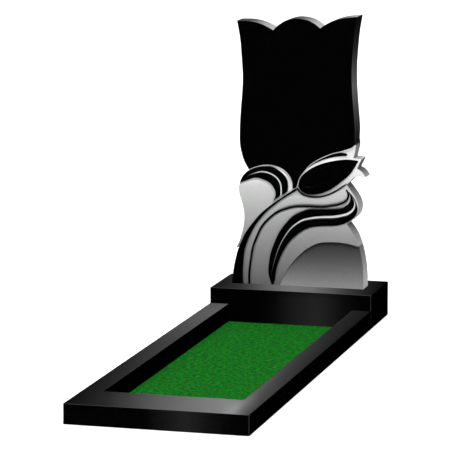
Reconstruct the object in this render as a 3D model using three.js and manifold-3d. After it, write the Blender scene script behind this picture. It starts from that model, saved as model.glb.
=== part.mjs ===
// Grave memorial in polished granite: an upright slab carved as a tulip with its leaves,
// standing on a plinth, with a kerb of three stones round a bed of turf in front of it.
// Millimetres, +Z up. The carved face looks towards -Y. The origin is on the ground, under
// the middle of the whole footprint.

import * as THREE from "three";
import { mergeVertices } from "three/addons/utils/BufferGeometryUtils.js";
import Module from "manifold-3d";

const wasm = await Module();
wasm.setup();

// Driving dimensions
const slabWidth = 600; // across the foot of the slab
const slabHeight = 1208; // foot to the highest petal tip
const slabThickness = 100;
const plinthSideMargin = 65; // plinth beyond the slab's foot, left and right
const plinthFrontMargin = 125; // plinth in front of the slab
const plinthBackMargin = 125; // plinth behind the slab
const plinthHeight = 150;
const kerbRun = 2050; // plinth's front to the front of the kerb
const kerbHeight = 80;
const sideKerbWidth = 85;
const frontKerbDepth = 240;
const turfHeight = 4;
const arris = 3; // broken edge of the blocks
const jointGap = 0.3; // between stones that touch

// Carving of the slab, as depths behind its polished face
const carvingDepth = 12; // ground of the carving, where the leaves lie
const leafRise = 6; // how far the middle of a leaf stands up from that ground
const bandEdgeDepth = 4; // edge of a polished band, whose crown reaches the polished face
const scoopDepth = 12; // how much deeper the hollow by the foot is cut under its arch
const curlLineWidth = 6; // light line cut between the curled leaf's two bands
const bladeLineWidth = 10; // the same on the blade of the great leaf
const lineFloorDepth = 6.5; // floor of those light lines
const veinWidth = 9; // raised line on the leaves
const budLineWidth = 5; // raised line under the bud
const lineCrownDepth = 1; // crown of those raised lines
const rootDepth = 2; // how far a raised form goes into the ground of the carving

// The carving is drawn on a sheet of this size, x from the slab's middle, z from its foot
const sheetWidth = 600;
const sheetHeight = 1208;

// Outline of the slab on the sheet: up its left side, over the petals and down its right side
const outline = {
  footLeft: [[-300, 0], [-293, 60], [-283, 112], [-270, 163]],
  leafTip: [[-270, 163], [-284, 158]],
  lobe: [
    [-284, 158], [-271, 181], [-259, 215], [-247, 266], [-245, 318], [-254, 362], [-267, 405], [-270, 432],
    [-265, 453],
  ],
  curlShoulder: [[-265, 453], [-256, 476], [-241, 497], [-221, 514]],
  cupLeft: [
    [-221, 514], [-245, 556], [-262, 618], [-264, 685], [-260, 775], [-253, 862], [-251, 935], [-256, 1018],
    [-263, 1098], [-277, 1176],
  ],
  petalLeft: [[-277, 1176], [-245, 1177], [-209, 1175], [-162, 1164], [-112, 1140]],
  petalMiddle: [[-112, 1140], [-86, 1163], [-50, 1184], [-8, 1193], [39, 1188], [74, 1173], [101, 1153]],
  petalRight: [[101, 1153], [128, 1171], [165, 1189], [212, 1201], [268, 1208]],
  cupRight: [
    [268, 1208], [257, 1140], [250, 1070], [245, 995], [245, 920], [249, 850], [255, 780], [260, 715],
    [259, 665], [262, 642],
  ],
  sepalOne: [[262, 642], [258, 615], [250, 583]],
  sepalTwoTop: [[250, 583], [288, 580]],
  sepalTwoUnder: [[288, 580], [277, 558], [267, 537]],
  sepalThreeTop: [[267, 537], [283, 529], [296, 516], [307, 500]],
  sepalThreeUnder: [[307, 500], [285, 502], [271, 503], [259, 499], [249, 493], [238, 481], [220, 464]],
  curlRight: [
    [220, 464], [240, 439], [258, 414], [271, 389], [276, 364], [272, 339], [261, 320], [241, 302],
    [223, 289],
  ],
  footRight: [[223, 289], [255, 244], [276, 192], [291, 128], [299, 60], [300, 0]],
};

// Lower edge of the flower's cup, over the curled leaf and over the sepals
const cupOverCurl = [
  [-221, 514], [-188, 528], [-150, 537], [-110, 536], [-72, 524], [-40, 497], [-25, 463], [-24, 435],
];
const cupOverSepals = [
  [-2, 441], [10, 483], [30, 515], [57, 550], [100, 576], [150, 598], [205, 613], [236, 624], [250, 631],
  [262, 642],
];

// Bud, the sliver of petal above it and the line under it
const budTop = [
  [3, 450], [10, 480], [28, 505], [60, 530], [104, 552], [152, 566], [200, 575], [240, 577], [275, 573],
];
const budUnder = [
  [3, 450], [17, 428], [50, 414], [99, 419], [147, 439], [190, 470], [232, 506], [257, 540], [275, 573],
];
const sliverTop = [[44, 538], [74, 559], [112, 579], [155, 597], [195, 604], [219, 602], [224, 600]];
const sliverUnder = [[44, 538], [76, 554], [117, 572], [161, 584], [196, 591], [219, 593], [224, 596]];
const budLine = [[218, 466], [175, 436], [133, 415], [90, 405], [46, 407], [16, 419], [-5, 441]];

// Curled leaf on the left: its outer edge, the light line along it and its inner edge
const curlOuter = [
  [-265, 453], [-256, 477], [-242, 498], [-222, 512], [-189, 526], [-152, 533], [-114, 532], [-76, 510],
  [-49, 480], [-43, 447], [-46, 423],
];
const curlLine = [
  [-265, 453], [-244, 472], [-226, 487], [-199, 499], [-165, 508], [-129, 503], [-96, 484], [-77, 453],
  [-75, 405],
];
const curlInner = [
  [-265, 453], [-230, 467], [-195, 479], [-156, 473], [-123, 456], [-103, 427], [-101, 403], [-109, 380],
];

// Stem, from the bud down to the foot, its left side lying past the outline below the leaf tip
const stemLeft = [
  [-8, 440], [-57, 406], [-116, 364], [-168, 320], [-207, 274], [-237, 232], [-256, 192], [-274, 149],
  [-290, 100], [-299, 50], [-306, 0],
];
const stemRight = [
  [-3, 430], [-57, 397], [-107, 359], [-152, 318], [-193, 265], [-222, 209], [-241, 154], [-248, 95],
  [-250, 45], [-248, 0],
];

// Raised line along the great leaf, from the right curl down to the foot
const vein = [
  [221, 443], [228, 428], [229, 414], [225, 400], [211, 386], [183, 375], [150, 368], [110, 362], [50, 362],
  [-10, 358], [-57, 345], [-98, 326], [-134, 296], [-163, 262], [-185, 216], [-204, 165], [-214, 104],
  [-220, 50], [-220, 0],
];

// Polished blade of the great leaf: its upper edge, the light line along it and its lower edge
const bladeUpper = [
  [221, 443], [236, 424], [240, 405], [233, 383], [216, 370], [199, 362], [160, 357], [105, 354], [59, 351],
  [22, 338], [-19, 316], [-55, 279], [-87, 238], [-106, 190], [-125, 141], [-131, 90], [-131, 50],
  [-115, 0],
];
const bladeLine = [
  [221, 443], [243, 423], [256, 397], [259, 373], [250, 353], [233, 339], [211, 330], [165, 320],
  [112, 316], [67, 310], [21, 297], [-25, 264], [-58, 221], [-83, 174], [-101, 121], [-112, 80], [-119, 40],
  [-115, 0],
];
const bladeUnder = [
  [221, 443], [238, 429], [251, 414], [264, 390], [272, 362], [270, 342], [259, 322], [239, 305],
  [215, 292], [182, 282], [150, 278], [95, 274], [46, 262], [1, 233], [-40, 191], [-72, 135], [-92, 80],
  [-104, 20], [-115, 0],
];

// Swelling leaf faces between those lines, each by its two edges
const leafFaces = {
  great: [
    [
      [226, 458], [180, 433], [135, 411], [88, 400], [44, 402], [0, 410], [-50, 392], [-107, 345],
      [-150, 305], [-189, 258], [-215, 206], [-234, 152], [-241, 95], [-243, 45], [-241, 0],
    ],
    [
      [233, 424], [216, 398], [165, 379], [110, 371], [50, 371], [-8, 367], [-54, 355], [-94, 336],
      [-129, 305], [-155, 269], [-177, 220], [-196, 166], [-206, 106], [-212, 50], [-212, 0],
    ],
  ],
  middle: [
    [
      [190, 371], [160, 362], [110, 354], [50, 354], [-10, 350], [-54, 337], [-93, 318], [-126, 290],
      [-154, 257], [-177, 213], [-195, 163], [-205, 104], [-211, 50], [-211, 0],
    ],
    [
      [202, 365], [160, 359], [105, 355], [57, 352], [20, 340], [-21, 318], [-57, 281], [-89, 240],
      [-108, 191], [-127, 142], [-133, 91], [-133, 50], [-120, 0],
    ],
  ],
  lobe: [
    [
      [-272, 446], [-280, 425], [-275, 395], [-262, 352], [-252, 312], [-254, 266], [-266, 215],
      [-290, 163],
    ],
    [
      [-255, 450], [-195, 470], [-138, 452], [-110, 405], [-124, 354], [-177, 305], [-220, 252],
      [-262, 180],
    ],
  ],
  foot: [
    [
      [232, 300], [190, 281], [150, 275], [95, 271], [48, 258], [5, 230], [-37, 187], [-69, 132], [-88, 78],
      [-100, 25], [-106, 0],
    ],
    [
      [294, 176], [262, 180], [238, 184], [195, 190], [146, 190], [97, 182], [57, 160], [20, 125],
      [-13, 83], [-42, 42], [-64, 0],
    ],
  ],
};

// Arch over the hollow by the foot, drawn past the outline at both ends
const hollowArch = [
  [-84, -10], [-60, 48], [-31, 94], [6, 138], [49, 174], [96, 198], [146, 205], [195, 205], [240, 199],
  [273, 191], [330, 180], [330, -10],
];

// Smoothness of the carving
const outlineStep = 26; // between points of an outline
const bandStep = 24; // between the cross sections of a band
const bandShares = [0, 0.2, 0.5, 0.8, 1]; // places across a band
const hollowSteps = 8; // heights at which the hollow's floor is set
const hollowCurve = 1.5; // power by which the floor falls away with height
const bandFullWidth = 40; // a band this wide or wider swells fully, a narrower one less
const budFullWidth = 80;
const leafFullWidth = 60;
const lineTaper = 0.15; // share of its run over which a line thins out
const lineStart = 0.3; // width of a raised line at its thin start, as a share
const curlLineOpens = 0.14; // shares of their runs at which the light lines open and close
const curlLineCloses = 1.2; // past its end, so it runs out open against the stem
const bladeLineOpens = 0.04;
const bladeLineCloses = 0.92;

// Sizes that follow
const plinthWidth = slabWidth + 2 * plinthSideMargin;
const plinthDepth = plinthFrontMargin + slabThickness + plinthBackMargin;
const plinthBackY = (kerbRun + plinthDepth) / 2;
const plinthFrontY = plinthBackY - plinthDepth;
const kerbFrontY = plinthFrontY - kerbRun;
const slabFrontY = plinthFrontY + plinthFrontMargin;
const outerX = plinthWidth / 2;
const bedX = outerX - sideKerbWidth;
const bedFrontY = kerbFrontY + frontKerbDepth;
const leafCrownDepth = carvingDepth - leafRise;

// Finishes
const polishedGranite = { color: 0x0c0c0e, roughness: 0.08, metalness: 0 };
const carvedGranite = { color: 0x3c3c3e, roughness: 0.3, metalness: 0 };
const turf = { color: 0x2c7d35, roughness: 0.95, metalness: 0 };

// The smooth curve through points of the sheet, in millimetres
function drawnCurve(points) {
  return new THREE.SplineCurve(
    points.map(([x, z]) => new THREE.Vector2((x * slabWidth) / sheetWidth, (z * slabHeight) / sheetHeight)),
  );
}

// Points along a drawn line for an outline, its two ends kept
function outlinePoints(points) {
  const line = drawnCurve(points);
  return points.length === 2 ? line.points : line.getPoints(Math.ceil(line.getLength() / outlineStep));
}

// Outline stretches joined end to end into one ring, each shared point once
function ring(stretches) {
  const all = [];
  for (const point of stretches.flat()) {
    const last = all[all.length - 1];
    if (!last || last.distanceTo(point) > jointGap) {
      all.push(point);
    }
  }
  if (all[0].distanceTo(all[all.length - 1]) < jointGap) {
    all.pop();
  }
  return all;
}

// The line moved sideways, to the right of its run for a positive distance
function movedSideways(line, distanceAt) {
  const last = line.length - 1;
  return line.map((point, i) => {
    const run = line[Math.min(i + 1, last)].clone().sub(line[Math.max(i - 1, 0)]).normalize();
    const distance = distanceAt(i / last);
    return new THREE.Vector2(point.x + run.y * distance, point.y - run.x * distance);
  });
}

// A geometry as a closed solid, its doubled corners merged and its faces turned outwards
function solidOf(source) {
  const bare = source.clone();
  bare.deleteAttribute("normal");
  bare.deleteAttribute("uv");
  const merged = mergeVertices(bare, 0.001);
  const place = merged.getAttribute("position");
  const corner = (index) => new THREE.Vector3().fromBufferAttribute(place, index);
  const corners = Array.from(merged.getIndex().array);
  const triangles = [];
  let volume = 0;
  for (let i = 0; i < corners.length; i += 3) {
    const [a, b, c] = corners.slice(i, i + 3);
    if (a !== b && b !== c && c !== a) {
      triangles.push(a, b, c);
      volume += corner(a).dot(corner(b).cross(corner(c)));
    }
  }
  if (volume < 0) {
    triangles.reverse();
  }
  return new wasm.Manifold(new wasm.Mesh({
    numProp: 3,
    vertProperties: new Float32Array(place.array),
    triVerts: new Uint32Array(triangles),
  }));
}

// A solid as a named mesh of one finish
function stoneMesh(name, solid, finish) {
  const { vertProperties, triVerts } = solid.getMesh();
  const geometry = new THREE.BufferGeometry();
  geometry.setAttribute("position", new THREE.Float32BufferAttribute(vertProperties, 3));
  geometry.setIndex(Array.from(triVerts));
  const mesh = new THREE.Mesh(geometry, new THREE.MeshStandardMaterial(finish));
  mesh.name = name;
  return mesh;
}

// A bar of square section laid cornerwise along an edge, which breaks that edge when cut away
function arrisBar(along, length, x, y, z) {
  const side = arris * Math.SQRT2;
  const size = { x: side, y: side, z: side, [along]: length };
  const bar = new THREE.BoxGeometry(size.x, size.y, size.z);
  const turn = { x: "rotateX", y: "rotateY", z: "rotateZ" }[along];
  bar[turn](Math.PI / 4);
  bar.translate(x, y, z);
  return solidOf(bar);
}

// A block on the ground between its sides in plan, with the named edges broken
function block({ left, right, front, back, height, edges }) {
  const middleX = (left + right) / 2;
  const middleY = (front + back) / 2;
  const wide = 2 * (right - left);
  const deep = 2 * (back - front);
  const bars = {
    topFront: ["x", wide, middleX, front, height],
    topBack: ["x", wide, middleX, back, height],
    topLeft: ["y", deep, left, middleY, height],
    topRight: ["y", deep, right, middleY, height],
    frontLeft: ["z", 2 * height, left, front, height],
    frontRight: ["z", 2 * height, right, front, height],
    backLeft: ["z", 2 * height, left, back, height],
    backRight: ["z", 2 * height, right, back, height],
  };
  const box = new THREE.BoxGeometry(right - left, back - front, height);
  box.translate(middleX, middleY, height / 2);
  return edges.reduce((stone, edge) => stone.subtract(arrisBar(...bars[edge])), solidOf(box));
}

// A region of the sheet as a plate between two depths behind the polished face
function plate(points, frontDepth, backDepth) {
  const geometry = new THREE.ExtrudeGeometry(new THREE.Shape(points), {
    depth: backDepth - frontDepth,
    bevelEnabled: false,
  });
  geometry.rotateX(Math.PI / 2);
  geometry.translate(0, backDepth, 0);
  return solidOf(geometry);
}

// A band between two side lines. Its front swells from the edge depth to the crown depth along
// a parabola across it, in proportion to its width where it is narrower than fullWidth.
function band(left, right, edgeDepth, crownDepth, fullWidth) {
  const rows = left.length;
  const columns = bandShares.length;
  const positions = [];
  for (const isBack of [false, true]) {
    for (let row = 0; row < rows; row += 1) {
      const swell = (edgeDepth - crownDepth) * Math.min(1, left[row].distanceTo(right[row]) / fullWidth);
      for (const share of bandShares) {
        const place = left[row].clone().lerp(right[row], share);
        const frontDepth = edgeDepth - swell * 4 * share * (1 - share);
        positions.push(place.x, isBack ? carvingDepth + rootDepth : frontDepth, place.y);
      }
    }
  }
  const front = (row, column) => row * columns + column;
  const back = (row, column) => (rows + row) * columns + column;
  const triangles = [];
  const face = (a, b, c, d) => triangles.push(a, b, c, a, c, d);
  const lastRow = rows - 1;
  const lastColumn = columns - 1;
  for (let row = 0; row < lastRow; row += 1) {
    for (let column = 0; column < lastColumn; column += 1) {
      face(front(row, column), front(row, column + 1), front(row + 1, column + 1), front(row + 1, column));
      face(back(row, column), back(row + 1, column), back(row + 1, column + 1), back(row, column + 1));
    }
    const next = row + 1;
    face(front(row, 0), front(next, 0), back(next, 0), back(row, 0));
    face(front(row, lastColumn), back(row, lastColumn), back(next, lastColumn), front(next, lastColumn));
  }
  for (let column = 0; column < lastColumn; column += 1) {
    const next = column + 1;
    face(front(0, column), back(0, column), back(0, next), front(0, next));
    face(front(lastRow, column), front(lastRow, next), back(lastRow, next), back(lastRow, column));
  }
  const geometry = new THREE.BufferGeometry();
  geometry.setAttribute("position", new THREE.Float32BufferAttribute(positions, 3));
  geometry.setIndex(triangles);
  return solidOf(geometry);
}

// How many sections a band along a drawn line has
function sections(points) {
  return Math.max(6, Math.round(drawnCurve(points).getLength() / bandStep));
}

// A form whose face swells between two drawn lines: a polished band, the bud or a leaf
function swelling(leftPoints, rightPoints, edgeDepth, crownDepth, fullWidth) {
  const count = sections(leftPoints);
  const left = drawnCurve(leftPoints).getSpacedPoints(count);
  const right = drawnCurve(rightPoints).getSpacedPoints(count);
  return band(left, right, edgeDepth, crownDepth, fullWidth);
}

// A raised line of even width, thinner at its start
function raisedLine(points, width) {
  const line = drawnCurve(points).getSpacedPoints(sections(points));
  const half = (share) => {
    const grown = THREE.MathUtils.smoothstep(share, 0, lineTaper);
    return (width / 2) * THREE.MathUtils.lerp(lineStart, 1, grown);
  };
  const left = movedSideways(line, (share) => -half(share));
  return band(left, movedSideways(line, half), bandEdgeDepth, lineCrownDepth, width);
}

// Two polished bands with a light line between them, which opens and closes at shares of its
// run. The first band lies to the left of that run.
function parted(leftPoints, linePoints, rightPoints, width, opens, closes) {
  const count = sections(linePoints);
  const line = drawnCurve(linePoints).getSpacedPoints(count);
  const half = (share) => {
    const opening = THREE.MathUtils.smoothstep(share, opens, opens + lineTaper);
    const closing = THREE.MathUtils.smoothstep(share, closes - lineTaper, closes);
    return (width / 2) * opening * (1 - closing);
  };
  const wider = (share) => half(share) + rootDepth;
  const left = drawnCurve(leftPoints).getSpacedPoints(count);
  const right = drawnCurve(rightPoints).getSpacedPoints(count);
  const leftBand = band(left, movedSideways(line, (share) => -half(share)), bandEdgeDepth, 0, bandFullWidth);
  const rightBand = band(movedSideways(line, half), right, bandEdgeDepth, 0, bandFullWidth);
  const floor = band(
    movedSideways(line, (share) => -wider(share)),
    movedSideways(line, wider),
    lineFloorDepth,
    lineFloorDepth,
    bandFullWidth,
  );
  return leftBand.add(rightBand).add(floor);
}

// What is cut out of the hollow by the foot: nothing at the foot, the full depth at the arch
function hollowCut() {
  const archTop = (Math.max(...hollowArch.map(([, z]) => z)) * slabHeight) / sheetHeight;
  const front = -carvingDepth;
  const section = [new THREE.Vector2(front, 0)];
  for (let step = 0; step <= hollowSteps; step += 1) {
    const share = step / hollowSteps;
    section.push(new THREE.Vector2(carvingDepth + scoopDepth * share ** hollowCurve, share * archTop));
  }
  section.push(new THREE.Vector2(front, archTop));
  const wedge = new THREE.ExtrudeGeometry(new THREE.Shape(section), {
    depth: 2 * slabWidth,
    bevelEnabled: false,
  });
  wedge.applyMatrix4(new THREE.Matrix4().makeBasis(
    new THREE.Vector3(0, 1, 0),
    new THREE.Vector3(0, 0, 1),
    new THREE.Vector3(1, 0, 0),
  ));
  wedge.translate(-slabWidth, 0, 0);
  return plate(outlinePoints(hollowArch), front, slabThickness).intersect(solidOf(wedge));
}

// The carved slab, its foot on z = 0 and its polished face on y = 0
function headstoneSolid() {
  const edges = {};
  for (const [name, points] of Object.entries(outline)) {
    edges[name] = outlinePoints(points);
  }
  const silhouette = ring(Object.values(edges));
  const cupRing = ring([
    edges.cupLeft,
    edges.petalLeft,
    edges.petalMiddle,
    edges.petalRight,
    edges.cupRight,
    outlinePoints(cupOverSepals).reverse(),
    outlinePoints(cupOverCurl).reverse(),
  ]);
  const leaves = Object.values(leafFaces).map(([left, right]) => (
    swelling(left, right, carvingDepth + rootDepth / 2, leafCrownDepth, leafFullWidth)
  ));
  const raised = [
    plate(cupRing, 0, carvingDepth + rootDepth),
    swelling(budTop, budUnder, bandEdgeDepth, 0, budFullWidth),
    swelling(sliverTop, sliverUnder, bandEdgeDepth, 0, bandFullWidth),
    swelling(stemLeft, stemRight, bandEdgeDepth, 0, bandFullWidth),
    parted(curlOuter, curlLine, curlInner, curlLineWidth, curlLineOpens, curlLineCloses),
    parted(bladeUnder, bladeLine, bladeUpper, bladeLineWidth, bladeLineOpens, bladeLineCloses),
    raisedLine(vein, veinWidth),
    raisedLine(budLine, budLineWidth),
    ...leaves,
  ];
  const ground = plate(silhouette, carvingDepth, slabThickness);
  const stone = raised.reduce((whole, form) => whole.add(form), ground);
  return stone.subtract(hollowCut()).intersect(plate(silhouette, -1, slabThickness));
}

// The front kerb: across the whole width, its back edge broken only along the bed
function frontKerbSolid() {
  const stone = block({
    left: -outerX,
    right: outerX,
    front: kerbFrontY,
    back: bedFrontY,
    height: kerbHeight,
    edges: ["topFront", "topLeft", "topRight", "frontLeft", "frontRight"],
  });
  return stone.subtract(arrisBar("x", 2 * bedX, 0, bedFrontY, kerbHeight));
}

const memorial = new THREE.Group();

const headstone = stoneMesh("headstone", headstoneSolid(), carvedGranite);
headstone.position.set(0, slabFrontY, plinthHeight + jointGap);
memorial.add(headstone);

memorial.add(stoneMesh(
  "plinth",
  block({
    left: -outerX,
    right: outerX,
    front: plinthFrontY,
    back: plinthBackY,
    height: plinthHeight,
    edges: ["topFront", "topBack", "topLeft", "topRight", "frontLeft", "frontRight", "backLeft", "backRight"],
  }),
  polishedGranite,
));

memorial.add(stoneMesh("kerb_front", frontKerbSolid(), polishedGranite));

for (const [name, left, right] of [["kerb_left", -outerX, -bedX], ["kerb_right", bedX, outerX]]) {
  memorial.add(stoneMesh(
    name,
    block({
      left,
      right,
      front: bedFrontY + jointGap,
      back: plinthFrontY - jointGap,
      height: kerbHeight,
      edges: ["topLeft", "topRight"],
    }),
    polishedGranite,
  ));
}

memorial.add(stoneMesh(
  "turf_bed",
  block({
    left: -bedX + jointGap,
    right: bedX - jointGap,
    front: bedFrontY + jointGap,
    back: plinthFrontY - jointGap,
    height: turfHeight,
    edges: [],
  }),
  turf,
));

export default memorial;
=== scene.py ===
import math
import bmesh
import bpy
import numpy as np
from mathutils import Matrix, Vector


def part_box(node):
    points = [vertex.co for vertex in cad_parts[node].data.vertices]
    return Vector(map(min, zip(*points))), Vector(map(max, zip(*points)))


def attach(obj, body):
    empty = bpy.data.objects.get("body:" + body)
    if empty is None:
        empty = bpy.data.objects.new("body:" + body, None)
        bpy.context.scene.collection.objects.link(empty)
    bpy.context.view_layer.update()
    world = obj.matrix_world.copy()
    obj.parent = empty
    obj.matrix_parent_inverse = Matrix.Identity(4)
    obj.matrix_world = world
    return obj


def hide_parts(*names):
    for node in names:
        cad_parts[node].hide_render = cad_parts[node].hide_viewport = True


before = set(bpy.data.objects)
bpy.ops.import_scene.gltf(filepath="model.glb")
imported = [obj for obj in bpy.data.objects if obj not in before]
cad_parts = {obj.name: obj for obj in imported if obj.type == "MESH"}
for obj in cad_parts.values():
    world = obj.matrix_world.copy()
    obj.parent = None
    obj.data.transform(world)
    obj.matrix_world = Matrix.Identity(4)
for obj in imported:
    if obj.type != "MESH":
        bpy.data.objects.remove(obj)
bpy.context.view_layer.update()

scene = bpy.context.scene
mm = 0.001
noiseRange = (0.3, 0.7)  # where most of a noise lies

# The memorial: a black granite slab cut as a tulip, its plinth, a kerb of three stones and a
# bed of turf.


# camera and room

cameraValues = {
    "azimuth": 15.49,  # degrees to the right of straight ahead
    "elevation": 9.60,
    "distance": 13.150,
    "lens": 238.57,  # millimetres on a 36 mm sensor
    "target": (-0.2966, 0.850, 0.4334),
}


def placeCamera(values):
    azimuth = math.radians(values["azimuth"])
    elevation = math.radians(values["elevation"])
    away = np.array([
        math.sin(azimuth) * math.cos(elevation),
        -math.cos(azimuth) * math.cos(elevation),
        math.sin(elevation),
    ])
    camera = bpy.data.objects.new("camera", bpy.data.cameras.new("camera"))
    scene.collection.objects.link(camera)
    camera.location = np.array(values["target"]) + away * values["distance"]
    camera.rotation_euler = (math.pi / 2 - elevation, 0, azimuth)
    camera.data.sensor_width = 36
    camera.data.lens = values["lens"]
    camera.data.clip_end = 200
    scene.camera = camera


placeCamera(cameraValues)
print("camera placed")


# nodes of one tree, each input given by its name or number, as a value or as a link
class Nodes:
    def __init__(self, tree):
        self.tree = tree

    def add(self, kind, settings=None, inputs=None):
        node = self.tree.nodes.new(kind)
        for name, value in (settings or {}).items():
            setattr(node, name, value)
        for key, value in (inputs or {}).items():
            self.put(node.inputs[key], value)
        return node

    def put(self, socket, value):
        if isinstance(value, bpy.types.NodeSocket):
            self.tree.links.new(value, socket)
        else:
            socket.default_value = value

    def math(self, operation, *values):
        return self.add("ShaderNodeMath", {"operation": operation}, dict(enumerate(values))).outputs[0]

    def scaled(self, vector, factor):
        node = self.add("ShaderNodeVectorMath", {"operation": "SCALE"}, {0: vector, "Scale": factor})
        return node.outputs[0]

    def mapped(self, value, low, high, toLow, toHigh, kind="LINEAR"):
        inputs = {"Value": value, "From Min": low, "From Max": high, "To Min": toLow, "To Max": toHigh}
        return self.add("ShaderNodeMapRange", {"interpolation_type": kind}, inputs).outputs[0]

    def noise(self, place, scale, detail=4.0, roughness=0.5):
        inputs = {"Vector": place, "Scale": scale, "Detail": detail, "Roughness": roughness}
        return self.add("ShaderNodeTexNoise", None, inputs).outputs["Fac"]

    # a colour ramp through (place, value) stops, a value being one number or a colour
    def ramp(self, fac, stops):
        node = self.add("ShaderNodeValToRGB", None, {"Fac": fac})
        elements = node.color_ramp.elements
        elements[0].position, elements[1].position = stops[0][0], stops[-1][0]
        for place, value in stops[1:-1]:
            elements.new(place)
        for element, (place, value) in zip(elements, stops):
            element.color = (*value, 1) if isinstance(value, tuple) else (value, value, value, 1)
        return node.outputs["Color"]

    # the same for places that run over any range
    def curve(self, value, stops):
        low, high = stops[0][0], stops[-1][0]
        shares = [((at - low) / (high - low), v) for at, v in stops]
        return self.ramp(self.mapped(value, low, high, 0, 1), shares)


# The sky is a soft dome, bright overhead and dark near the horizon, with a few soft panels that
# only the polish mirrors. A panel's glow is its highest glow times one curve of the azimuth
# (0 behind the slab, positive to the right) and one of the elevation, both in degrees. A panel
# that leans has its across curve shifted by lean (elevation - leanFrom).
roomValues = {
    "domeLow": 0.01,
    "domeHigh": 2.5,
    "domeFrom": 20,  # the dome brightens between these two elevations
    "domeTo": 60,
    "leanFrom": 13,
    "panels": [
        {
            "glow": 0.96,
            "across": [(-18.6, 0.01), (-18.2, 0.04), (-17.8, 0.09), (-17.4, 0.21), (-17, 0.39),
                       (-16.4, 0.63), (-15.9, 0.84), (-15.45, 1), (-15.3, 0.87), (-15.16, 0.4),
                       (-15.05, 0.22), (-14.95, 0.12), (-14.8, 0)],
            "upwards": [(11.03, 0), (11.1, 0.48), (11.5, 0.44), (11.9, 0.35), (12.3, 0.38), (12.6, 0.6),
                        (12.95, 1), (15, 1), (18, 0)],
        },
        {
            "glow": 0.73,
            "lean": 1.1,
            "across": [(-15.42, 0), (-15.27, 0.35), (-15.15, 0.97), (-15.09, 0.77), (-15.03, 0.6),
                       (-14.97, 0.5), (-14.9, 0.41), (-14.8, 0.35), (-14.68, 0.29), (-14.4, 0)],
            "upwards": [(11.03, 0), (11.1, 0.13), (11.6, 0.22), (12, 0.36), (12.3, 0.47), (12.58, 0.65),
                        (12.77, 0.83), (13, 1), (13.1, 0.8), (13.2, 0.35), (13.35, 0)],
        },
        {
            "glow": 0.62,
            "across": [(-15.9, 0.02), (-15.5, 0.06), (-15.2, 0.15), (-14.85, 0.44), (-14.5, 0.77),
                       (-14.15, 1), (-13.8, 0.87), (-13.45, 0.52), (-13.1, 0.21), (-12.75, 0.07),
                       (-12.4, 0)],
            "upwards": [(10, 0), (10.3, 1), (10.97, 1), (11.03, 0)],
        },
        {
            "glow": 0.52,
            "across": [(-167.2, 0), (-166.8, 0.2), (-166.3, 1), (-165.9, 0.6), (-165.5, 0.12),
                       (-165.2, 0)],
            "upwards": [(-12.6, 0), (-12.2, 1), (-11, 1), (-10.8, 0)],
        },
        {
            "glow": 0.46,
            "across": [(-164.9, 0), (-164.6, 0.05), (-164.2, 0.25), (-163.75, 1), (-163.3, 0.38),
                       (-162.9, 0)],
            "upwards": [(-15, 0), (-14, 1), (-13, 1), (-12.7, 0)],
        },
    ],
    "keyStrength": 2.6,  # a broad sun for the matt surfaces
    "keyElevation": 45,
    "keyAzimuth": 15.5,
    "keyAngle": 35,
    "floorColour": (0.93, 0.93, 0.93),
    "floorSize": 120,
}


def lightRoom(values):
    world = bpy.data.worlds.new("room")
    scene.world = world
    world.use_nodes = True
    tree = world.node_tree
    tree.nodes.clear()
    n = Nodes(tree)
    direction = n.add("ShaderNodeSeparateXYZ", None, {0: n.add("ShaderNodeTexCoord").outputs["Generated"]})
    x, y, z = direction.outputs
    elevation = n.math("MULTIPLY", n.math("ARCSINE", z), math.degrees(1))
    azimuth = n.math("MULTIPLY", n.math("ARCTAN2", x, y), math.degrees(1))
    dome = n.mapped(elevation, values["domeFrom"], values["domeTo"], values["domeLow"], values["domeHigh"],
                    "SMOOTHSTEP")
    total = n.math("MULTIPLY", dome, n.math("GREATER_THAN", z, 0.0))
    rise = n.math("SUBTRACT", elevation, values["leanFrom"])
    for panel in values["panels"]:
        shifted = n.math("MULTIPLY_ADD", rise, panel.get("lean", 0.0), azimuth)
        glow = n.math("MULTIPLY", n.curve(shifted, panel["across"]), n.curve(elevation, panel["upwards"]))
        total = n.math("MULTIPLY_ADD", glow, panel["glow"], total)
    background = n.add("ShaderNodeBackground", None, {"Strength": total})
    tree.links.new(background.outputs[0], n.add("ShaderNodeOutputWorld").inputs[0])

    half = values["floorSize"] / 2
    floorMesh = bpy.data.meshes.new("floor")
    floorMesh.from_pydata([(-half, -half, -mm), (half, -half, -mm), (half, half, -mm), (-half, half, -mm)],
                          [], [(0, 1, 2, 3)])
    floor = bpy.data.objects.new("floor", floorMesh)
    scene.collection.objects.link(floor)
    material = bpy.data.materials.new("paleFloor")
    material.use_nodes = True
    shader = material.node_tree.nodes["Principled BSDF"]
    shader.inputs["Base Color"].default_value = (*values["floorColour"], 1)
    shader.inputs["Roughness"].default_value = 1
    shader.inputs["Specular IOR Level"].default_value = 0
    floorMesh.materials.append(material)
    floor.visible_glossy = False  # the polish mirrors no floor

    key = bpy.data.objects.new("key", bpy.data.lights.new("key", "SUN"))
    scene.collection.objects.link(key)
    key.rotation_euler = (math.radians(90 - values["keyElevation"]), 0, math.radians(values["keyAzimuth"]))
    key.data.energy = values["keyStrength"]
    key.data.angle = math.radians(values["keyAngle"])
    key.visible_glossy = False


lightRoom(roomValues)
scene.view_settings.view_transform = "Standard"
print("room lit")


# finishes

def newFinish(name):
    material = bpy.data.materials.new(name)
    material.use_nodes = True
    n = Nodes(material.node_tree)
    place = n.add("ShaderNodeTexCoord").outputs["Object"]
    return material, n, place, material.node_tree.nodes["Principled BSDF"]


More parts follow.
